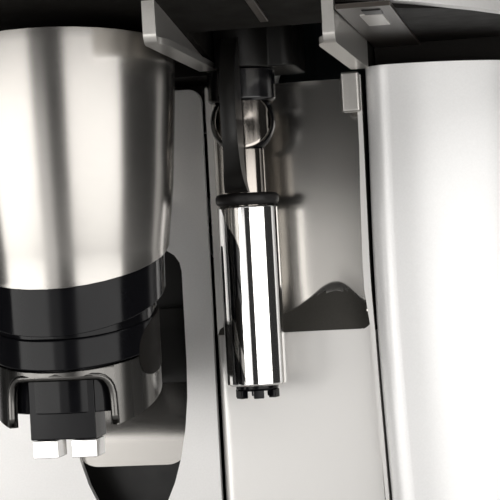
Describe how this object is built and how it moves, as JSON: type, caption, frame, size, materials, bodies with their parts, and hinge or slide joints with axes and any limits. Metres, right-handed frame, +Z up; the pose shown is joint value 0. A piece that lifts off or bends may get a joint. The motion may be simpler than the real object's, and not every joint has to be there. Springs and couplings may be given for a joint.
{
  "type": "bean to cup coffee machine",
  "caption": "Bean to cup coffee machine with a sliding dispenser on a hinged door, a swivelling steam wand, drip tray, bean hopper and lift out water tank.",
  "frame": {"origin": "middle of the bounding box at the plane of the feet", "axes": "+X to the right seen from the front, +Y to the back, +Z up"},
  "size_m": [0.32, 0.4, 0.381],
  "materials": {
    "silver": "fine silver metallic paint, satin",
    "dark_grey": "matte dark grey moulding",
    "black": "glossy black moulding",
    "rubber": "matte black rubber",
    "chrome": "bright chrome",
    "steel": "polished and brushed steel",
    "smoke": "smoky clear plastic",
    "clear": "clear plastic",
    "white": "white plastic tube",
    "brass": "satin brass",
    "board": "green circuit board",
    "red": "red plastic"
  },
  "bodies": {
    "housing": {"base_pan": "dark_grey", "foot_front_left": "rubber", "foot_front_right": "rubber", "foot_rear_left": "rubber", "foot_rear_right": "rubber", "side_panel_left": "silver", "side_panel_right": "silver", "rear_panel": "dark_grey", "power_inlet": "black", "console_shell": "silver", "console_underside": "dark_grey", "bay_fin_left": "silver", "bay_fin_right": "silver", "niche_liner": "silver", "catch_block": "silver", "steam_mount": "black", "top_cover": "silver", "cup_plate": "steel", "bean_hopper": "smoke", "upper_burr": "steel", "grinder_motor": "dark_grey", "boiler": "steel", "pump": "brass", "brew_unit": "dark_grey", "control_board": "board", "display_window": "smoke", "inner_frame": "dark_grey", "steam_hose": "white"},
    "door": {"door_panel": "silver", "column_shell": "silver", "slide_backing": "black", "dispenser_collar": "black"},
    "dispenser": {"dispenser_carriage": "silver", "chrome_hood": "chrome", "spout_housing": "black", "nozzle_left": "chrome", "nozzle_right": "chrome"},
    "swivel": {"swivel_collar": "black"},
    "wand": {"wand_ball": "steel", "ball_band": "black", "wand_pipe": "steel", "wand_ring": "rubber", "wand_handle": "black", "wand_tip": "black"},
    "sleeve": {"wand_sleeve": "chrome"},
    "tray": {"drip_tray": "dark_grey", "tray_front": "silver", "grounds_drawer": "black"},
    "grid": {"cup_grid": "steel"},
    "float": {"tray_float": "red"},
    "hopper_cover": {"hopper_lid": "smoke"},
    "coffee_cover": {"doser_lid": "black"},
    "tank": {"water_tank": "clear"},
    "tank_cover": {"tank_lid": "smoke"},
    "knob": {"steam_knob": "black"},
    "grinding_cone": {"lower_burr": "steel"},
    "rocker": {"power_rocker": "red"},
    "button_a": {"button_one_cup": "chrome"},
    "button_b": {"button_two_cups": "chrome"},
    "button_c": {"button_steam": "chrome"}
  },
  "joints": [
    {"name": "door_hinge", "type": "hinge", "parent": "housing", "child": "door", "pos_m": [-0.0855, -0.075, 0.18], "axis": [0, 0, 1], "range_deg": [-85, 0]},
    {"name": "dispenser_slide", "type": "slide", "parent": "door", "child": "dispenser", "axis": [0, 0, 1], "range_m": [-0.03, 0]},
    {"name": "wand_swivel", "type": "hinge", "parent": "housing", "child": "swivel", "pos_m": [0.051, -0.103, 0.2767], "axis": [0, 0, 1], "range_deg": [-5, 35]},
    {"name": "wand_tilt", "type": "hinge", "parent": "swivel", "child": "wand", "pos_m": [0.051, -0.103, 0.2767], "axis": [0, 1, 0], "range_deg": [-6, 5]},
    {"name": "sleeve_slide", "type": "slide", "parent": "wand", "child": "sleeve", "axis": [0, 0, 1], "range_m": [-0.045, 0]},
    {"name": "drip_tray_slide", "type": "slide", "parent": "housing", "child": "tray", "axis": [0, -1, 0], "range_m": [0, 0.2]},
    {"name": "cup_grid_lift", "type": "slide", "parent": "tray", "child": "grid", "axis": [0, 0, 1], "range_m": [0, 0.05]},
    {"name": "float_rise", "type": "slide", "parent": "tray", "child": "float", "axis": [0, 0, 1], "range_m": [0, 0.006]},
    {"name": "hopper_lid_hinge", "type": "hinge", "parent": "housing", "child": "hopper_cover", "pos_m": [-0.076, 0.1885, 0.3745], "axis": [1, 0, 0], "range_deg": [-100, 0]},
    {"name": "coffee_lid_hinge", "type": "hinge", "parent": "housing", "child": "coffee_cover", "pos_m": [0.015, 0.1525, 0.3724], "axis": [1, 0, 0], "range_deg": [-100, 0]},
    {"name": "water_tank_lift", "type": "slide", "parent": "housing", "child": "tank", "axis": [0, 0, 1], "range_m": [0, 0.12]},
    {"name": "tank_lid_hinge", "type": "hinge", "parent": "tank", "child": "tank_cover", "pos_m": [0.09, 0.1865, 0.3745], "axis": [1, 0, 0], "range_deg": [-100, 0]},
    {"name": "steam_knob_turn", "type": "hinge", "parent": "housing", "child": "knob", "pos_m": [0.092, -0.155, 0.344], "axis": [0.3095, -0.6425, 0.701], "range_deg": [0, 150]},
    {"name": "grinding_cone_spin", "type": "hinge", "parent": "housing", "child": "grinding_cone", "pos_m": [-0.064, 0.116, 0.285], "axis": [0, 0, 1], "continuous": true},
    {"name": "power_rocker_tilt", "type": "hinge", "parent": "housing", "child": "rocker", "pos_m": [-0.066, 0.1955, 0.0425], "axis": [1, 0, 0], "range_deg": [0, 8]},
    {"name": "one_cup_button_press", "type": "slide", "parent": "housing", "child": "button_a", "axis": [0.2024, 0.6617, -0.7219], "range_m": [0, 0.0013], "stiffness_N_per_m": 300, "springref_m": -0.001},
    {"name": "two_cups_button_press", "type": "slide", "parent": "housing", "child": "button_b", "axis": [0.2619, 0.6521, -0.7114], "range_m": [0, 0.0013], "stiffness_N_per_m": 300, "springref_m": -0.001},
    {"name": "steam_button_press", "type": "slide", "parent": "housing", "child": "button_c", "axis": [0.3246, 0.6391, -0.6972], "range_m": [0, 0.0013], "stiffness_N_per_m": 300, "springref_m": -0.001}
  ]
}
